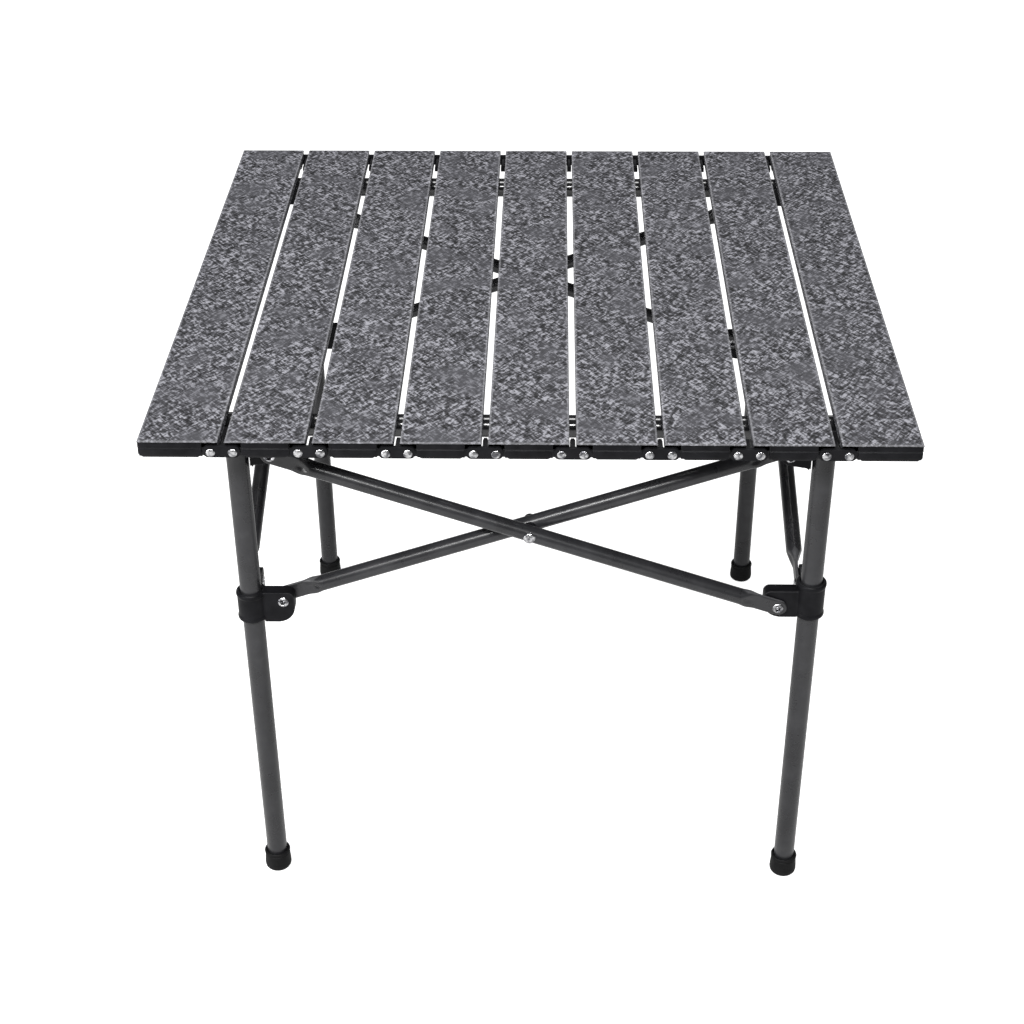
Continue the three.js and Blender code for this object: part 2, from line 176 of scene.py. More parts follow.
def start_material(name, metallic=0.0, specular=0.5, coat=0.0, coat_roughness=0.1):
    material = bpy.data.materials.new(name)
    material.use_nodes = True
    tree = material.node_tree
    shader = tree.nodes["Principled BSDF"]
    shader.inputs["Metallic"].default_value = metallic
    shader.inputs["Specular IOR Level"].default_value = specular
    shader.inputs["Coat Weight"].default_value = coat
    shader.inputs["Coat Roughness"].default_value = coat_roughness
    place = add_node(tree, "ShaderNodeTexCoord").outputs["Object"]
    return material, tree, shader, place


def finish_material(tree, shader, colour, roughness, height, strength, distance):
    tree.links.new(colour, shader.inputs["Base Color"])
    tree.links.new(roughness, shader.inputs["Roughness"])
    bump = add_node(tree, "ShaderNodeBump", {
        "Height": height, "Strength": strength, "Distance": distance,
    })
    tree.links.new(bump.outputs["Normal"], shader.inputs["Normal"])


def edge_highlight_mask(tree):
    """1 where a mesh marks the edges that get a painted highlight, 0 elsewhere."""
    return add_node(tree, "ShaderNodeAttribute", attribute_name="edge").outputs["Fac"]


def strokes(tree, place, turn, scale):
    """Noise drawn out into short parallel strokes, turned about Z."""
    turned_place = add_node(tree, "ShaderNodeMapping", {
        "Vector": place, "Rotation": (0, 0, math.radians(turn)), "Scale": (1.0, 3.4, 1.0),
    }, vector_type="TEXTURE").outputs["Vector"]
    return noise(tree, turned_place, scale, detail=1.0, roughness=0.5, distortion=0.6)


def slat_material():
    """Grey wrinkle powder coat: short crossed ridges with smoother patches; its colour carries painted shade
    in the hollows and a painted highlight on the ridge tops, and a painted highlight along the top edges.
    """
    material, tree, shader, place = start_material("wrinkle_coat", specular=0.25)
    first = strokes(tree, place, 38, 520)
    second = strokes(tree, place, -38, 520)
    fine = noise(tree, place, 900, detail=2.0, roughness=0.6)
    patches = noise(tree, place, 34, detail=2.0)
    crossed = maths(tree, "MAXIMUM", first, second)
    hollow = maths(tree, "MINIMUM", first, second)
    ridges = maths(tree, "ADD", maths(tree, "MULTIPLY", crossed, 0.5), maths(tree, "MULTIPLY", hollow, 0.5))
    ridges = maths(tree, "ADD", maths(tree, "MULTIPLY", ridges, 0.8), maths(tree, "MULTIPLY", fine, 0.2))
    # painted shade in the hollows of the wrinkles and a painted highlight on their ridges, following the
    # ridge height
    painted_ridge_shade = ramp(tree, ridges, [
        (0.38, grey(0.004, 0.14)), (0.46, grey(0.022, 0.13)),
        (0.52, grey(0.062, 0.12)), (0.60, grey(0.215, 0.10)),
    ])
    calm = ramp(tree, patches, [(0.50, grey(0.0)), (0.66, grey(0.62))])
    colour = mixed(tree, calm, painted_ridge_shade, grey(0.050, 0.13))
    # a painted highlight along the marked top edges of the slat
    colour = mixed(tree, maths(tree, "MULTIPLY", edge_highlight_mask(tree), 0.30), colour, grey(0.26, 0.05))
    roughness = remap(tree, ridges, 0.66, 0.46)
    finish_material(tree, shader, colour, roughness, ridges, 0.8, 0.0012)
    return material


def tube_material():
    """Charcoal satin powder coat with a little orange peel and faint rubbing."""
    material, tree, shader, place = start_material("charcoal_coat", specular=0.42)
    peel = noise(tree, place, 700, detail=2.0, roughness=0.5)
    rub = noise(tree, place, 45, detail=4.0, roughness=0.6)
    colour = ramp(tree, rub, [(0.3, grey(0.012, 0.10)), (0.55, grey(0.018, 0.10)), (0.8, grey(0.030, 0.08))])
    # a painted highlight along the marked edges, which are the edges of the arms' flattened ends
    colour = mixed(tree, maths(tree, "MULTIPLY", edge_highlight_mask(tree), 0.5), colour, grey(0.11, 0.04))
    roughness = remap(tree, rub, 0.22, 0.34)
    finish_material(tree, shader, colour, roughness, peel, 0.12, 0.0002)
    return material


def rail_material():
    """Gloss black paint."""
    material, tree, shader, place = start_material("gloss_black", specular=0.5, coat=0.3)
    peel = noise(tree, place, 420, detail=1.0)
    rub = noise(tree, place, 70, detail=5.0, roughness=0.65)
    colour = ramp(tree, rub, [(0.35, grey(0.005, 0.1)), (0.7, grey(0.009, 0.1))])
    roughness = remap(tree, rub, 0.10, 0.20)
    finish_material(tree, shader, colour, roughness, peel, 0.06, 0.0002)
    return material


def plastic_material():
    """Black moulded nylon with a fine spark-eroded grain."""
    material, tree, shader, place = start_material("moulded_black", specular=0.07)
    grain = noise(tree, place, 1500, detail=2.0, roughness=0.6)
    sink = noise(tree, place, 90, detail=3.0)
    colour = ramp(tree, sink, [(0.3, grey(0.0045, 0.15)), (0.75, grey(0.010, 0.15))])
    # a painted highlight along the marked ridges of the moulded parts
    colour = mixed(tree, maths(tree, "MULTIPLY", edge_highlight_mask(tree), 0.35), colour, grey(0.05, 0.05))
    roughness = remap(tree, sink, 0.34, 0.48)
    finish_material(tree, shader, colour, roughness, grain, 0.22, 0.00015)
    return material


def rubber_material():
    """Black moulded rubber, dusty where it is handled."""
    material, tree, shader, place = start_material("moulded_rubber", specular=0.09)
    grain = noise(tree, place, 800, detail=3.0, roughness=0.65)
    dust = noise(tree, place, 60, detail=5.0, roughness=0.7)
    colour = ramp(tree, dust, [
        (0.35, grey(0.005, 0.05)), (0.62, grey(0.010, 0.03)), (0.85, grey(0.024, 0.0)),
    ])
    roughness = remap(tree, dust, 0.42, 0.66)
    finish_material(tree, shader, colour, roughness, grain, 0.3, 0.0002)
    return material


def rivet_material():
    """Zinc-plated steel with dents and fine handling marks."""
    material, tree, shader, place = start_material("bright_rivet", metallic=1.0)
    marks = noise(tree, place, 520, detail=4.0, roughness=0.7, distortion=0.6)
    tone = noise(tree, place, 330, detail=3.0)
    colour = ramp(tree, tone, [(0.38, (0.10, 0.10, 0.11)), (0.62, (0.62, 0.62, 0.63))])
    roughness = remap(tree, marks, 0.14, 0.34)
    finish_material(tree, shader, colour, roughness, marks, 0.55, 0.0006)
    return material


MATERIALS = {
    "slat": slat_material(),
    "tube": tube_material(),
    "rail": rail_material(),
    "plastic": plastic_material(),
    "foot_rubber": rubber_material(),
    "rivet": rivet_material(),
}


# ---------------------------------------------------------------- mesh helpers

def link_object(name, mesh):
    piece = bpy.data.objects.new(name, mesh)
    scene.collection.objects.link(piece)
    return piece


def mesh_from(name, points, faces, place=None):
    """A closed mesh in metres from points in millimetres, with its faces turned outwards."""
    mesh = bpy.data.meshes.new(name)
    spot = place or Matrix.Identity(4)
    mesh.from_pydata([(spot @ Vector(point)) * MM for point in points], [], faces)
    edit = bmesh.new()
    edit.from_mesh(mesh)
    bmesh.ops.recalc_face_normals(edit, faces=edit.faces)
    edit.to_mesh(mesh)
    edit.free()
    return mesh


def joined(name, parts):
    """One mesh of several closed shells, each given as (points, faces)."""
    points, faces = [], []
    for part_points, part_faces in parts:
        start = len(points)
        points.extend(part_points)
        faces.extend([[start + index for index in face] for face in part_faces])
    return mesh_from(name, points, faces)


def modified(mesh, modifiers):
    """The mesh after a list of (type, settings) modifiers, applied."""
    worker = link_object("worker", mesh)
    for kind, settings in modifiers:
        modifier = worker.modifiers.new(kind.lower(), kind)
        for key, value in settings.items():
            setattr(modifier, key, value)
    depsgraph = bpy.context.evaluated_depsgraph_get()
    result = bpy.data.meshes.new_from_object(worker.evaluated_get(depsgraph))
    bpy.data.objects.remove(worker)
    return result


def cut(mesh, cutter_mesh):
    cutter = link_object("cutter", cutter_mesh)
    result = modified(mesh, [("BOOLEAN", {"operation": "DIFFERENCE", "object": cutter, "solver": "EXACT"})])
    bpy.data.objects.remove(cutter)
    return result


def fused(mesh, other_mesh):
    other = link_object("other", other_mesh)
    result = modified(mesh, [("BOOLEAN", {"operation": "UNION", "object": other, "solver": "EXACT"})])
    bpy.data.objects.remove(other)
    return result


def bevelled(mesh, width, segments=3, angle=35):
    settings = {
        "width": width * MM, "segments": segments, "limit_method": "ANGLE",
        "angle_limit": math.radians(angle), "use_clamp_overlap": True,
    }
    return modified(mesh, [("BEVEL", settings)])


def mark_edges(mesh, test):
    """Writes 1 at the points where test, given millimetres, says an edge gets a painted highlight."""
    layer = mesh.attributes.new("edge", "FLOAT", "POINT")
    for index, vertex in enumerate(mesh.vertices):
        layer.data[index].value = 1.0 if test(vertex.co / MM) else 0.0


def mark_ridges(mesh, angle=30):
    """Marks the points of every convex edge sharper than the angle, where a painted highlight goes."""
    layer = mesh.attributes.new("edge", "FLOAT", "POINT")
    edit = bmesh.new()
    edit.from_mesh(mesh)
    limit = math.radians(angle)
    for edge in edit.edges:
        if len(edge.link_faces) == 2 and edge.is_convex and edge.calc_face_angle() > limit:
            for vertex in edge.verts:
                layer.data[vertex.index].value = 1.0
    edit.free()


def place_piece(name, mesh, slot, body, nodes=(), place=None, sharp=40):
    """Adds a copy of the mesh to the object, moved by place, which is in millimetres."""
    data = mesh.copy()
    data.name = name
    if place is not None:
        spot = place.copy()
        spot.translation = spot.translation * MM
        data.transform(spot)
    data.shade_smooth()
    data.set_sharp_from_angle(angle=math.radians(sharp))
    data.materials.clear()
    data.materials.append(MATERIALS[slot])
    piece = link_object(name, data)
    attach(piece, body)
    if nodes:
        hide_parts(*nodes)
    return piece


def rounded(outline, radius, steps=4, closed=True, only=None):
    """The outline with its corners, or only those listed, rounded off by short curves."""
    result = []
    count = len(outline)
    for index, corner in enumerate(outline):
        here = Vector(corner)
        keep = (only is not None and index not in only) or (not closed and index in (0, count - 1))
        if keep:
            result.append(tuple(here))
            continue
        before = Vector(outline[index - 1]) - here
        after = Vector(outline[(index + 1) % count]) - here
        reach = min(radius, before.length * 0.49, after.length * 0.49)
        start = here + before.normalized() * reach
        end = here + after.normalized() * reach
        for step in range(steps + 1):
            t = step / steps
            result.append(tuple(start * (1 - t) ** 2 + here * (2 * t * (1 - t)) + end * t * t))
    return result


def arc(centre, radius, start, end, steps):
    """Points of an arc, with its angles in degrees."""
    points = []
    for step in range(steps + 1):
        angle = math.radians(start + (end - start) * step / steps)
        points.append((centre[0] + radius * math.cos(angle), centre[1] + radius * math.sin(angle)))
    return points


def swept(outline, stations, lay):
    """A closed prism: the outline repeated at each station, with lay(u, v, station) placing a point."""
    count = len(outline)
    points = [lay(u, v, station) for station in stations for u, v in outline]
    faces = []
    for row in range(len(stations) - 1):
        for index in range(count):
            a, b = row * count + index, row * count + (index + 1) % count
            faces.append([a, b, b + count, a + count])
    last = (len(stations) - 1) * count
    faces.append(list(range(count))[::-1])
    faces.append([last + index for index in range(count)])
    return points, faces


def along_x(u, v, station):
    return (station, u, v)


def along_y(u, v, station):
    return (u, station, v)


def along_z(u, v, station):
    return (u, v, station)


def brick(low, high):
    outline = [(low[0], low[1]), (high[0], low[1]), (high[0], high[1]), (low[0], high[1])]
    return swept(outline, (low[2], high[2]), along_z)


def lathe(profile, sides=ROUND, closed=False, axis="z"):
    """Turns (radius, height) points about an axis; a closed profile gives a ring."""
    points, rings = [], []
    for radius, height in profile:
        ring = []
        steps = 1 if radius < 1e-6 else sides
        for step in range(steps):
            angle = 2 * math.pi * step / sides
            u, v = radius * math.cos(angle), radius * math.sin(angle)
            ring.append(len(points))
            points.append({"x": (height, u, v), "y": (v, height, u), "z": (u, v, height)}[axis])
        rings.append(ring)
    pairs = list(zip(rings, rings[1:]))
    if closed:
        pairs.append((rings[-1], rings[0]))
    faces = []
    for low, high in pairs:
        for step in range(sides):
            face = []
            for ring, offset in ((low, 0), (low, 1), (high, 1), (high, 0)):
                index = ring[(step + offset) % len(ring)]
                if index not in face:
                    face.append(index)
            if len(face) > 2:
                faces.append(face)
    return points, faces


def moulded(name, shells, voxel=0.45, smooth=5, keep=0.4):
    """Closed shells that overlap, melted into one skin with softened edges."""
    skin = modified(joined(name, shells), [
        ("REMESH", {"mode": "VOXEL", "voxel_size": voxel * MM, "adaptivity": 0.0}),
        ("SMOOTH", {"factor": 0.5, "iterations": smooth}),
        ("DECIMATE", {"decimate_type": "COLLAPSE", "ratio": keep}),
    ])
    return skin


def turned(turn, place=(0, 0, 0)):
    """A quarter-turn placement of something drawn at place."""
    return Matrix.Rotation(turn * QUARTER, 4, "Z") @ Matrix.Translation(place)


# ---------------------------------------------------------------- tabletop

POCKET_DEPTH = LINK_DEPTH + FIT
PLUG_LENGTH = 14.0
POCKET_EDGE = 16.1              # middle of a slat to the pocket of its link


def slat_mesh():
    half, inner, under = SLAT_HALF, SLAT_HALF - SKIN, THICKNESS - SKIN
    base = THICKNESS - SLAT_DEPTH
    crown, loop = 0.9, 1.8      # rounding of the top edges, and where their painted highlight fades out
    outline = [(-half, base), (-inner, base), (-inner, under), (inner, under), (inner, base), (half, base)]
    outline += [(half, THICKNESS - loop)]
    outline += arc((half - crown, THICKNESS - crown), crown, 0, 90, 6)
    outline += [(half - loop, THICKNESS), (0, THICKNESS), (loop - half, THICKNESS)]
    outline += arc((crown - half, THICKNESS - crown), crown, 90, 180, 6)
    outline += [(-half, THICKNESS - loop)]
    stations = [-END_Y, -END_Y + 1.6, -END_Y / 3, END_Y / 3, END_Y - 1.6, END_Y]
    mesh = mesh_from("slat", *swept(outline, stations, along_y))
    behind = END_Y - POCKET_DEPTH
    reach, roof = half + 1, under + 0.05
    pockets = joined("pockets", [
        brick((-reach, -END_Y - 1, -1), (reach, -behind, roof)),
        brick((-reach, behind, -1), (reach, END_Y + 1, roof)),
    ])
    mesh = bevelled(cut(mesh, pockets), 0.3, segments=2, angle=50)

    # the top edges of the slat that get a painted highlight
    def highlighted_edge(point):
        top = point.z > THICKNESS - crown * 1.05
        return top and (abs(point.x) > half - crown * 1.05 or abs(point.y) > END_Y - 0.4)

    mark_edges(mesh, highlighted_edge)
    return mesh


def plug_mesh(left_linked, right_linked):
    """An end plug at the front: a block inside the channel and the face seen between the links."""
    edge = SLAT_HALF - 0.35
    left = -POCKET_EDGE if left_linked else -edge
    right = POCKET_EDGE if right_linked else edge
    behind = -END_Y + POCKET_DEPTH
    under = THICKNESS - SKIN - 0.06
    inside = SLAT_HALF - SKIN - 0.12
    body = joined("plug", [brick((-inside, behind, 0.4), (inside, -END_Y + PLUG_LENGTH, under))])
    front = -END_Y
    face = [
        (behind + 0.6, under), (front + 0.75, under), (front + 0.1, under - 3.4),
        (front + 0.1, under - 3.9), (front + 0.95, under - 4.0), (front + 0.95, under - 4.7),
        (front + 0.25, under - 4.9), (front + 0.2, 2.0), (front + 1.2, -0.25), (behind + 0.6, -0.25),
    ]
    bow = 2.2                   # the face's sides turn in at their lower corners
    prism = mesh_from("face", *swept(face, (left, right), along_x))
    trims = []
    for x, sign in ((left, 1), (right, -1)):
        corner = [(x - sign, -1), (x + sign * (bow + 1.4), -1), (x - sign, bow + 1.6)]
        trims.append(swept(corner, (front - 1, behind - 0.2), along_y))
    prism = cut(prism, joined("trims", trims))
    mesh = bevelled(fused(body, prism), 0.22, segments=2, angle=28)
    mark_ridges(mesh, 25)
    return mesh


TONGUE_DEPTH = 16               # length of the tongue that fills the end of a gap, behind its link


def link_mesh():
    corner = 3.6
    side = LINK_HALF_SPAN + LINK_REACH - corner
    top, bottom = link_high.z - LINK_PIVOT.z - corner, link_low.z - LINK_PIVOT.z + corner
    outline = arc((side, bottom), corner, -90, 0, 8) + arc((side, top), corner, 0, 90, 8)
    outline += arc((-side, top), corner, 90, 180, 8) + arc((-side, bottom), corner, 180, 270, 8)
    half = LINK_DEPTH / 2
    tongue = [(-1.9, -3.5), (1.9, -3.5), (1.9, -0.2), (1.1, 1.9), (-1.1, 1.9), (-1.9, -0.2)]
    plate = mesh_from("link", *swept(outline, (-half, half), along_y))
    behind = mesh_from("link", *swept(tongue, (half - 1, half + TONGUE_DEPTH), along_y))
    mesh = bevelled(fused(plate, behind), 0.45, segments=3, angle=50)
    mark_ridges(mesh, 20)
    return mesh


def dome_rivet_mesh(radius, height, shank=0.6):
    """A rivet head drawn on the Y axis, standing out towards -Y from the plane Y = 0."""
    profile = [(0, shank), (radius * 0.5, shank), (radius * 0.5, 0), (radius * 0.94, 0), (radius, -0.15)]
    for step in range(1, 8):
        angle = QUARTER * step / 8
        profile.append((radius * math.cos(angle), -0.15 - (height - 0.15) * math.sin(angle)))
    profile += [(radius * 0.12, -height * 0.99), (0, -height * 0.93)]
    return mesh_from("dome", *lathe(profile, 32, axis="y"))


def hook_mesh():
    low, high = box_mm("hook_front_left")
    x = (low.x + high.x) / 2
    half = (high.x - low.x) / 2
    thick = 3.0
    outline = rounded([
        (low.y, high.z - thick), (high.y - thick, high.z - thick), (high.y - thick, low.z),
        (high.y, low.z), (high.y, high.z), (low.y, high.z),
    ], 1.2, only=(1, 2, 3))
    mesh = mesh_from("hook", *swept(outline, (-half, half), along_x))
    mesh = bevelled(mesh, 0.5, segments=3, angle=50)
    mark_ridges(mesh, 20)
    return mesh, x, low, high


def screw_mesh():
    """A pan head screw with a cross slot, drawn on Z and facing down."""
    profile = [(0, 0.8), (1.6, 0.8), (1.6, 0), (3.4, 0), (3.55, -0.4), (3.1, -1.3), (1.8, -1.75), (0, -1.85)]
    head = mesh_from("screw", *lathe(profile, 28))
    slots = joined("slots", [brick((-2.1, -0.35, -3), (2.1, 0.35, -1.1))])
    other = joined("slots", [brick((-0.35, -2.1, -3), (0.35, 2.1, -1.1))])
    return cut(cut(head, slots), other)


def slat_x(index):
    low, high = box_mm(f"slat_{index}")
    return (low.x + high.x) / 2


def make_tabletop():
    slat = slat_mesh()
    plugs = {
        (True, True): plug_mesh(True, True),
        (False, True): plug_mesh(False, True),
        (True, False): plug_mesh(True, False),
    }
    for index in range(1, SLAT_COUNT + 1):
        body = f"slat_{index}"
        x = slat_x(index)
        place = Matrix.Translation((x, 0, SLAT_BASE))
        place_piece(f"channel_{index}", slat, "slat", body, [body], place)
        linked = (index > 1, index < SLAT_COUNT)
        place_piece(f"plug_front_{index}", plugs[linked], "plastic", body, (), place)
        about = place @ Matrix.Rotation(math.pi, 4, "Z")
        place_piece(f"plug_rear_{index}", plugs[linked[::-1]], "plastic", body, (), about)
    link, head = link_mesh(), dome_rivet_mesh(3.25, 1.25)
    for index in range(1, SLAT_COUNT):
        x = (slat_x(index) + slat_x(index + 1)) / 2
        for side, turn in (("front", 0), ("rear", 2)):
            body = f"link_{index}"
            about = Matrix.Rotation(turn * QUARTER, 4, "Z")
            node = f"link_{side}_{index}"
            sign = 1 if turn == 0 else -1
            spot = about @ Matrix.Translation((sign * x, LINK_Y, LINK_PIVOT.z))
            place_piece(f"plate_{side}_{index}", link, "plastic", body, [node], spot)
            for offset, end in ((-LINK_HALF_SPAN, "left"), (LINK_HALF_SPAN, "right")):
                spot = about @ Matrix.Translation((sign * (x + offset), link_low.y, LINK_PIVOT.z))
                place_piece(f"rivet_{side}_{index}_{end}", head, "rivet", body, (), spot)
    hook, x, low, high = hook_mesh()
    screw = screw_mesh()
    for side, sign in (("left", 1), ("right", -1)):
        body = "slat_1" if side == "left" else f"slat_{SLAT_COUNT}"
        for end, turn in (("front", 0), ("rear", 2)):
            across = x * sign if turn == 0 else -x * sign
            about = Matrix.Rotation(turn * QUARTER, 4, "Z")
            spot = about @ Matrix.Translation((across, 0, 0))
            place_piece(f"catch_{end}_{side}", hook, "plastic", body, [f"hook_{end}_{side}"], spot)
            for offset in (-6.5, 6.5):
                drop = about @ Matrix.Translation((across + offset, low.y + 7, high.z - 3.0))
                name = "a" if offset < 0 else "b"
                place_piece(f"screw_{end}_{side}_{name}", screw, "rivet", body, (), drop)


# ---------------------------------------------------------------- rails

def tube_profile(radius, wall, low, high):
    corners = [(radius, low), (radius, high), (radius - wall, high), (radius - wall, low)]
    return rounded(corners, 0.4, steps=3)


def make_rails():
    length = rail_high.x - rail_low.x
    tube = mesh_from("rail", *lathe(tube_profile(RAIL_RADIUS, 1.2, -length / 2, length / 2),
                                    closed=True, axis="x"))
    cap_profile = rounded([
        (0, 1.9), (RAIL_RADIUS - 2.2, 1.75), (RAIL_RADIUS + 0.05, 1.1), (RAIL_RADIUS + 0.05, 0),
        (RAIL_RADIUS - 1.35, 0), (RAIL_RADIUS - 1.35, -7), (RAIL_RADIUS - 2.6, -7),
        (RAIL_RADIUS - 2.6, -0.6), (0, -0.6),
    ], 0.35, steps=3, closed=False)
    cap = mesh_from("cap", *lathe(cap_profile, axis="x"))
    for name, sign in (("front", -1), ("rear", 1)):
        node = f"crossbar_{name}"
        spot = Matrix.Translation((0, sign * LEG_HALF, RAIL_Z))
        place_piece(f"rail_{name}", tube, "rail", node, [node], spot)
        right = spot @ Matrix.Translation((length / 2, 0, 0))
        left = spot @ Matrix.Translation((-length / 2, 0, 0)) @ Matrix.Rotation(math.pi, 4, "Z")
        place_piece(f"rail_cap_{name}_right", cap, "plastic", node, (), right)
        place_piece(f"rail_cap_{name}_left", cap, "plastic", node, (), left)


# ---------------------------------------------------------------- corner pieces
# A corner is drawn with its leg on the Z axis and its two lugs towards +X and +Y.

LUG_HALF = 5.0
RING = 11.2
WEB_TOP = RAIL_Z - RAIL_RADIUS - FIT
HOLE = 2.3


def lug_shell(outline, half=LUG_HALF, towards_y=False):
    points, faces = swept(outline, (-half, half), along_y)
    if towards_y:
        points = [(-y, x, z) for x, y, z in points]
    return points, faces


def lug_holes(z):
    """Cutters for the two rivet holes of a corner piece."""
    pin = [(0, -9), (HOLE, -9), (HOLE, 9), (0, 9)]
    along = lathe(pin, 24, axis="y")
    across = lathe(pin, 24, axis="x")
    first = [(x + PIVOT_OFFSET, y, zz + z) for x, y, zz in along[0]]
    second = [(x, y + PIVOT_OFFSET, zz + z) for x, y, zz in across[0]]
    return joined("holes", [(first, along[1]), (second, across[1])])


BRACKET_SKIRT = 7.5             # how far the bracket's skirt hangs below the CAD ring


def bracket_mesh(rail_along_y):
    bottom = box_mm("bracket_front_left")[0].z - BRACKET_SKIRT
    leg_top = leg_high.z + FIT
    ring = [
        (BORE, bottom + 0.6), (BORE + 0.6, bottom), (RING - 1.1, bottom), (RING, bottom + 1.3),
        (RING, bottom + 3.2), (RING - 0.6, bottom + 3.9), (RING - 0.6, leg_top - 2), (RING, leg_top),
        (RING, WEB_TOP), (0, WEB_TOP), (0, leg_top), (BORE, leg_top),
    ]
    drop, radius = 9.5, 6.5
    lug = [(BORE + 1, -drop), (PIVOT_OFFSET - 3, 2 - drop)]
    lug += arc((PIVOT_OFFSET, 0), radius, -90, 90, 16) + [(BORE + 1, radius)]
    lug = [(x, z + TOP_PIVOT_Z) for x, z in lug]
    seat, wall_top = RAIL_RADIUS + FIT, RAIL_Z + 3.9
    cradle = [(-RING, WEB_TOP - 4), (RING, WEB_TOP - 4), (RING, wall_top), (seat, wall_top)]
    cradle += [(seat, RAIL_Z)] + [(x, z) for x, z in arc((0, RAIL_Z), seat, 0, -180, 20)][1:]
    cradle += [(-seat, wall_top), (-RING, wall_top)]
    points, faces = swept(cradle, (-RING, RING), along_x)
    if rail_along_y:
        points = [(-y, x, z) for x, y, z in points]
    rib = [(RING - 1.5, TOP_PIVOT_Z - 12.5), (RING - 1.5, TOP_PIVOT_Z - 6), (RING + 6, TOP_PIVOT_Z - 8)]
    shells = [lathe(ring), lug_shell(lug), lug_shell(lug, towards_y=True), (points, faces)]
    shells += [lug_shell(rib, 1.5), lug_shell(rib, 1.5, towards_y=True)]
    mesh = moulded("bracket", shells)
    return finish_moulding(cut(mesh, lug_holes(TOP_PIVOT_Z)))


# Heights from the pivots, and reach from the leg's axis, of the two collar mouldings.
HIGH_PIVOT_COLLAR = {"ring": (-16.4, 8.8), "lug": (-18.1, 8.1), "reach": 32.3}
LOW_PIVOT_COLLAR = {"ring": (-9.8, 20.4), "lug": (-10.0, 13.0), "reach": 34.5}


def collar_mesh(kind):
    low, high = kind["ring"]
    ring = [
        (BORE, low + 0.7), (BORE + 0.7, low), (RING - 1.2, low), (RING, low + 1.3), (RING, low + 3.6),
        (RING - 0.55, low + 4.2), (RING - 0.55, high - 4.2), (RING, high - 3.6), (RING, high - 1.3),
        (RING - 1.2, high), (BORE + 0.7, high), (BORE, high - 0.7),
    ]
    bottom, top = kind["lug"]
    reach, sweep, corner = kind["reach"], 13.0, 5.0
    lug = [(BORE + 1, bottom)]
    lug += arc((reach - sweep, bottom + sweep), sweep, -90, 0, 14)
    lug += arc((reach - corner, top - corner), corner, 0, 90, 8)
    lug += [(BORE + 1, top)]
    mesh = moulded("collar", [
        lathe(ring, closed=True), lug_shell(lug), lug_shell(lug, towards_y=True),
    ])
    return finish_moulding(cut(mesh, lug_holes(0)))


def finish_moulding(mesh):
    # the sharp ridges of the moulding get a painted highlight
    mark_ridges(mesh, 18)
    return mesh


def foot_mesh():
    foot_low, foot_high = box_mm("foot_front_left")
    wide = (foot_high.x - foot_low.x) / 2
    top = foot_high.z
    floor = leg_low.z - FIT
    profile = [(0, 0.25), (wide - 4.4, 0.25), (wide - 4.0, 0), (wide - 2.6, 0), (wide - 1.1, 0.6),
               (wide - 0.25, 1.9), (wide, 3.6), (wide - 0.12, 6.5), (wide - 0.55, 12.2),
               (wide - 0.6, top - 3.6), (wide - 0.95, top - 3.3), (wide - 0.95, top - 2.9),
               (wide - 0.35, top - 2.5), (wide - 0.25, top - 1.4), (wide - 0.7, top - 0.4),
               (wide - 1.3, top), (BORE + 0.5, top), (BORE - 0.05, top - 0.5),
               (BORE - 0.05, floor), (0, floor)]
    return mesh_from("foot", *lathe(profile))


def make_corners():
    collars = {False: collar_mesh(HIGH_PIVOT_COLLAR), True: collar_mesh(LOW_PIVOT_COLLAR)}
    foot = foot_mesh()
    brackets = {False: bracket_mesh(False), True: bracket_mesh(True)}
    leg = mesh_from("leg", *lathe(tube_profile(LEG_RADIUS, 1.2, leg_low.z, leg_high.z), closed=True))
    for turn, corner in enumerate(CORNERS):
        body = f"leg_{corner}"
        spot = turned(turn, (-LEG_HALF, -LEG_HALF, 0))
        place_piece(f"tube_{corner}", leg, "tube", body, [f"leg_{corner}"], spot)
        place_piece(f"shoe_{corner}", foot, "foot_rubber", body, [f"foot_{corner}"], spot)
        bracket = brackets[turn % 2 == 1]
        place_piece(f"cap_{corner}", bracket, "plastic", body, [f"bracket_{corner}"], spot, sharp=180)
        spot = turned(turn, (-LEG_HALF, -LEG_HALF, COLLAR_Z))
        collar = collars[turn % 2 == 1]
        place_piece(f"slider_{corner}", collar, "plastic", f"collar_{corner}", [f"collar_{corner}"],
                    spot, sharp=180)


# ---------------------------------------------------------------- scissor arms
# An arm is drawn along X about its centre, flattened across Y at both ends.

ARM_RADIUS = 6.0
END_HALF_WIDTH = 6.5
END_HALF_THICK = 1.3
FLAT_LENGTH = 16.5              # pivot to where the flattened end starts to swell
SWELL_LENGTH = 31.0             # pivot to where the arm is a full round tube
ARM_SIDES = 48


def blend01(value):
    t = min(max(value, 0.0), 1.0)
    return t * t * (3 - 2 * t)


def arm_section(inward):
    """Half width, half thickness and roundness of an arm at a distance inward from its pivot."""
    roundness = blend01((inward - FLAT_LENGTH) / (SWELL_LENGTH - FLAT_LENGTH))
    if inward < 0:
        return math.sqrt(max(END_HALF_WIDTH ** 2 - inward ** 2, 0.0)), END_HALF_THICK, 0.0
    width = END_HALF_WIDTH + (ARM_RADIUS - END_HALF_WIDTH) * roundness
    width += 0.7 * math.sin(math.pi * roundness)
    return width, END_HALF_THICK + (ARM_RADIUS - END_HALF_THICK) * roundness, roundness


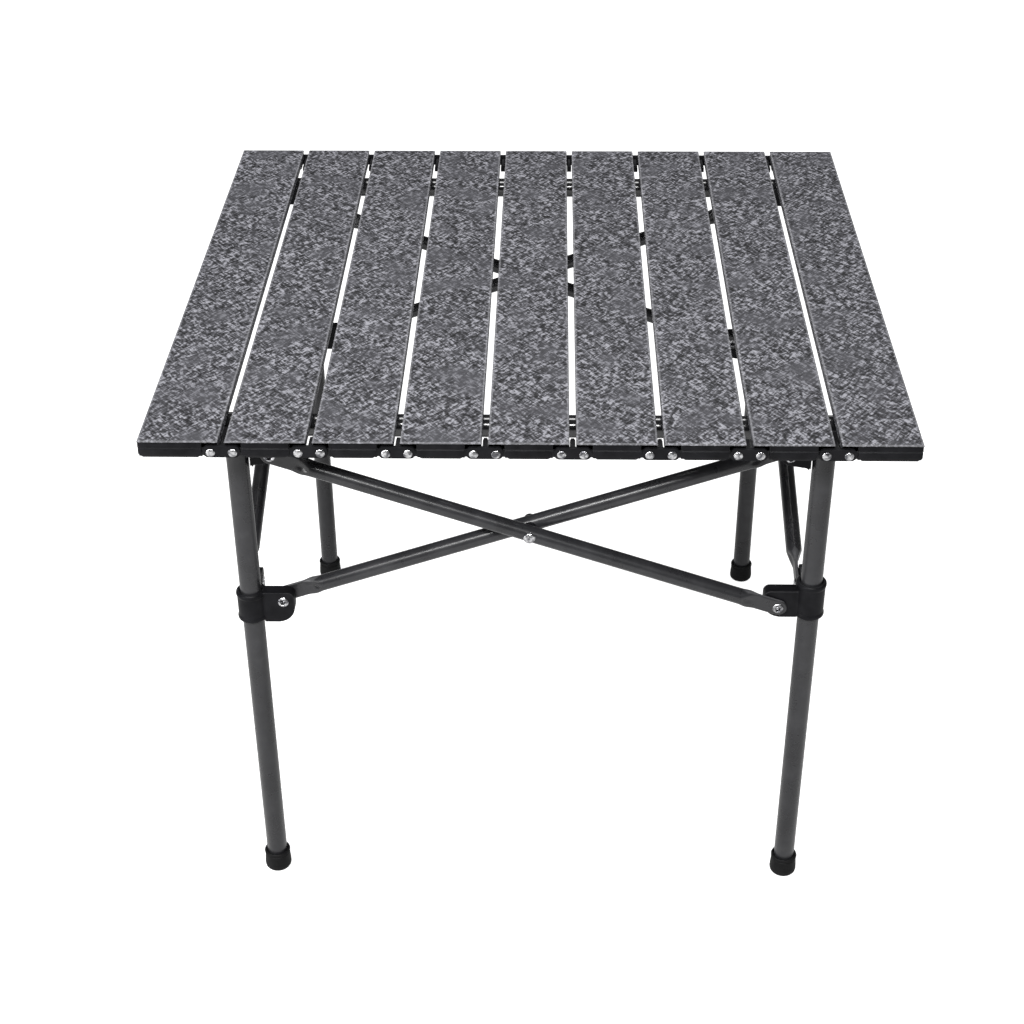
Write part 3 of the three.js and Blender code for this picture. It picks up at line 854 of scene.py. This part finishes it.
def arm_mesh():
    inward = [-END_HALF_WIDTH * math.sin(math.radians(a)) for a in (88, 80, 70, 58, 45, 30, 15)]
    inward += [0, 5, 10, FLAT_LENGTH - 0.5]
    inward += [FLAT_LENGTH + (SWELL_LENGTH - FLAT_LENGTH) * step / 12 for step in range(13)]
    inward += [60.0, 120.0]
    half = [(-ARM_HALF + distance, distance) for distance in inward]
    stations = half + [(-x, distance) for x, distance in reversed(half)]
    points, faces = [], []
    for x, distance in stations:
        width, thick, roundness = arm_section(distance)
        for step in range(ARM_SIDES):
            angle = 2 * math.pi * step / ARM_SIDES
            across = math.cos(angle)
            # A flattened section is a slab with round edges; where it swells, its middle stays pinched.
            flat_rise = min(1.0, math.sqrt(max(0.0, 1 - abs(across) ** 9)))
            rise = abs(math.sin(angle)) * roundness + flat_rise * (1 - roundness)
            dip = 0.42 * math.sin(math.pi * roundness) * math.exp(-(across / 0.34) ** 2)
            rise *= 1 - dip
            points.append((x, math.copysign(thick * rise, math.sin(angle)), width * across))
    for row in range(len(stations) - 1):
        for step in range(ARM_SIDES):
            a, b = row * ARM_SIDES + step, row * ARM_SIDES + (step + 1) % ARM_SIDES
            faces.append([a, b, b + ARM_SIDES, a + ARM_SIDES])
    last = (len(stations) - 1) * ARM_SIDES
    faces.append(list(range(ARM_SIDES))[::-1])
    faces.append([last + step for step in range(ARM_SIDES)])
    mesh = mesh_from("arm", points, faces)
    cutters = []
    for x, radius in ((-ARM_HALF, HOLE), (ARM_HALF, HOLE), (0, HOLE + 0.3)):
        pin, pin_faces = lathe([(0, -8), (radius, -8), (radius, 8), (0, 8)], 24, axis="y")
        cutters.append(([(px + x, py, pz) for px, py, pz in pin], pin_faces))
    mesh = cut(mesh, joined("holes", cutters))
    # the edges of the flattened ends get a painted highlight
    mark_edges(mesh, lambda p: abs(p.x) > ARM_HALF - SWELL_LENGTH and abs(p.z) > END_HALF_WIDTH * 0.93)
    return mesh


def tubular_rivet_mesh(low, high):
    """A hollow rivet on the Y axis, with a rolled head outside each of the planes low and high."""
    head, hole, pin, rise = 4.1, 1.75, HOLE - 0.08, 1.15
    end = [
        (hole, -2.2), (hole, -0.2), (hole + 0.25, rise - 0.35), (hole + 0.75, rise),
        (head - 1.1, rise * 0.94), (head - 0.35, rise * 0.62), (head, 0.22), (head - 0.1, 0.0), (pin, 0.0),
    ]
    profile = [(0, high - 2.2)] + [(radius, high + z) for radius, z in end]
    profile += [(radius, low - z) for radius, z in reversed(end)] + [(0, low + 2.2)]
    return mesh_from("tubular", *lathe(profile, 40, axis="y"))


def centre_rivet_mesh():
    reach = ARM_OFFSET + ARM_RADIUS + 0.1
    pin, head = HOLE - 0.1, 4.4
    end = [(pin, 0), (head - 0.1, 0), (head, 0.25), (head - 0.35, 0.95), (head - 1.4, 1.5)]
    end += [(1.2, 1.75), (0, 1.8)]
    profile = [(radius, -reach - z) for radius, z in reversed(end)]
    profile += [(radius, reach + z) for radius, z in end]
    return mesh_from("centre", *lathe(profile, 36, axis="y"))


def washer_mesh():
    profile = rounded([(HOLE, -0.45), (5.2, -0.45), (5.2, 0.45), (HOLE, 0.45)], 0.2, steps=2)
    return mesh_from("washer", *lathe(profile, 32, closed=True, axis="y"))


def make_sides():
    arm, centre, washer = arm_mesh(), centre_rivet_mesh(), washer_mesh()
    lug = LUG_HALF
    skin = ARM_OFFSET + END_HALF_THICK
    outer_rivet = tubular_rivet_mesh(-skin, lug)
    inner_rivet = tubular_rivet_mesh(-lug, skin)
    middle = (TOP_PIVOT_Z + COLLAR_Z) / 2
    first_arm = {"front": "outer", "right": "outer", "rear": "inner", "left": "inner"}
    for turn, side in enumerate(SIDES):
        left, right = CORNERS[turn], CORNERS[(turn + 1) % 4]
        for which, sign in (("outer", -1), ("inner", 1)):
            node = f"arm_{side}_{which}"
            spot = turned(turn, (0, -LEG_HALF + sign * ARM_OFFSET, middle))
            lean = Matrix.Rotation(-sign * ARM_SLOPE, 4, "Y")
            place_piece(f"strut_{side}_{which}", arm, "tube", node, [node], spot @ lean, sharp=50)
            rivet = outer_rivet if which == "outer" else inner_rivet
            high_corner, low_corner = (left, right) if which == "outer" else (right, left)
            high_x = -ARM_SPAN / 2 if which == "outer" else ARM_SPAN / 2
            high_spot = turned(turn, (high_x, -LEG_HALF, TOP_PIVOT_Z))
            place_piece(f"rivet_top_{side}_{which}", rivet, "rivet", f"leg_{high_corner}", (), high_spot)
            low_spot = turned(turn, (-high_x, -LEG_HALF, COLLAR_Z))
            place_piece(f"rivet_collar_{side}_{which}", rivet, "rivet", f"collar_{low_corner}", (), low_spot)
        spot = turned(turn, (0, -LEG_HALF, middle))
        body = f"arm_{side}_{first_arm[side]}"
        place_piece(f"rivet_cross_{side}", centre, "rivet", body, [f"centre_rivet_{side}"], spot)
        place_piece(f"washer_{side}", washer, "plastic", body, (), spot)


make_tabletop()
make_rails()
make_corners()
make_sides()


# ---------------------------------------------------------------- floor, light and camera

# Brightness of the floor and the surroundings, as they light the table and as the camera sees them.
FLOOR_GLOW = (0.22, 0.90)
WORLD_GLOW = (0.14, 1.0)


def make_floor():
    points, faces = [], []
    count, size = 8, 9.0
    for row in range(count + 1):
        for column in range(count + 1):
            points.append(((column / count - 0.5) * size, (row / count - 0.5) * size, 0))
    for row in range(count):
        for column in range(count):
            a = row * (count + 1) + column
            faces.append((a, a + 1, a + count + 2, a + count + 1))
    mesh = bpy.data.meshes.new("floor")
    mesh.from_pydata(points, [], faces)
    floor = link_object("floor", mesh)
    material, tree, shader, place = start_material("pale_floor", specular=0.0)
    tone = noise(tree, place, 3.0, detail=2.0)
    colour = ramp(tree, tone, [(0.3, (0.48, 0.48, 0.48)), (0.7, (0.52, 0.52, 0.52))])
    tree.links.new(colour, shader.inputs["Base Color"])
    shader.inputs["Roughness"].default_value = 0.9
    shader.inputs["Emission Color"].default_value = (1, 1, 1, 1)
    camera_ray = add_node(tree, "ShaderNodeLightPath").outputs["Is Camera Ray"]
    tree.links.new(remap(tree, camera_ray, *FLOOR_GLOW), shader.inputs["Emission Strength"])
    mesh.materials.append(material)


def make_light(name, place, target, size, power):
    data = bpy.data.lights.new(name, "AREA")
    data.shape = "RECTANGLE"
    data.size, data.size_y = size
    data.energy = power
    lamp = bpy.data.objects.new(name, data)
    scene.collection.objects.link(lamp)
    lamp.location = place
    lamp.rotation_euler = (Vector(target) - Vector(place)).to_track_quat("-Z", "Y").to_euler()


def make_world():
    world = bpy.data.worlds.new("studio")
    world.use_nodes = True
    background = world.node_tree.nodes["Background"]
    background.inputs["Color"].default_value = (1, 1, 1, 1)
    tree = world.node_tree
    camera_ray = add_node(tree, "ShaderNodeLightPath").outputs["Is Camera Ray"]
    tree.links.new(remap(tree, camera_ray, *WORLD_GLOW), background.inputs["Strength"])
    scene.world = world


def make_camera():
    """The camera stands in front of the table and looks down at it."""
    place = Vector((0.0145, -1.313, 1.075))
    pitch, yaw, roll = math.radians(33.30), math.radians(1.41), math.radians(-0.39)
    right = Vector((math.cos(yaw), math.sin(yaw), 0))
    forward = Vector((-math.sin(yaw) * math.cos(pitch), math.cos(yaw) * math.cos(pitch), -math.sin(pitch)))
    down = forward.cross(right)
    tilted_right = math.cos(roll) * right - math.sin(roll) * down
    tilted_down = math.sin(roll) * right + math.cos(roll) * down
    data = bpy.data.cameras.new("camera")
    data.lens, data.sensor_width = 64.7, 36.0
    data.clip_end = 50.0
    camera = bpy.data.objects.new("camera", data)
    scene.collection.objects.link(camera)
    axes = Matrix((tilted_right, -tilted_down, -forward)).transposed()
    camera.matrix_world = Matrix.Translation(place) @ axes.to_4x4()
    scene.camera = camera


make_floor()
make_world()
make_light("top_strip", (-0.1, 0.3, 2.0), (0, 0, 0.3), (1.8, 0.5), 34)
make_light("front_strip", (-0.3, -1.75, 1.95), (0, -0.2, 0.3), (1.9, 0.28), 84)
make_light("left_softbox", (-1.7, -1.3, 0.7), (0, 0, 0.2), (0.4, 1.2), 16)
make_camera()
scene.view_settings.view_transform = "Standard"
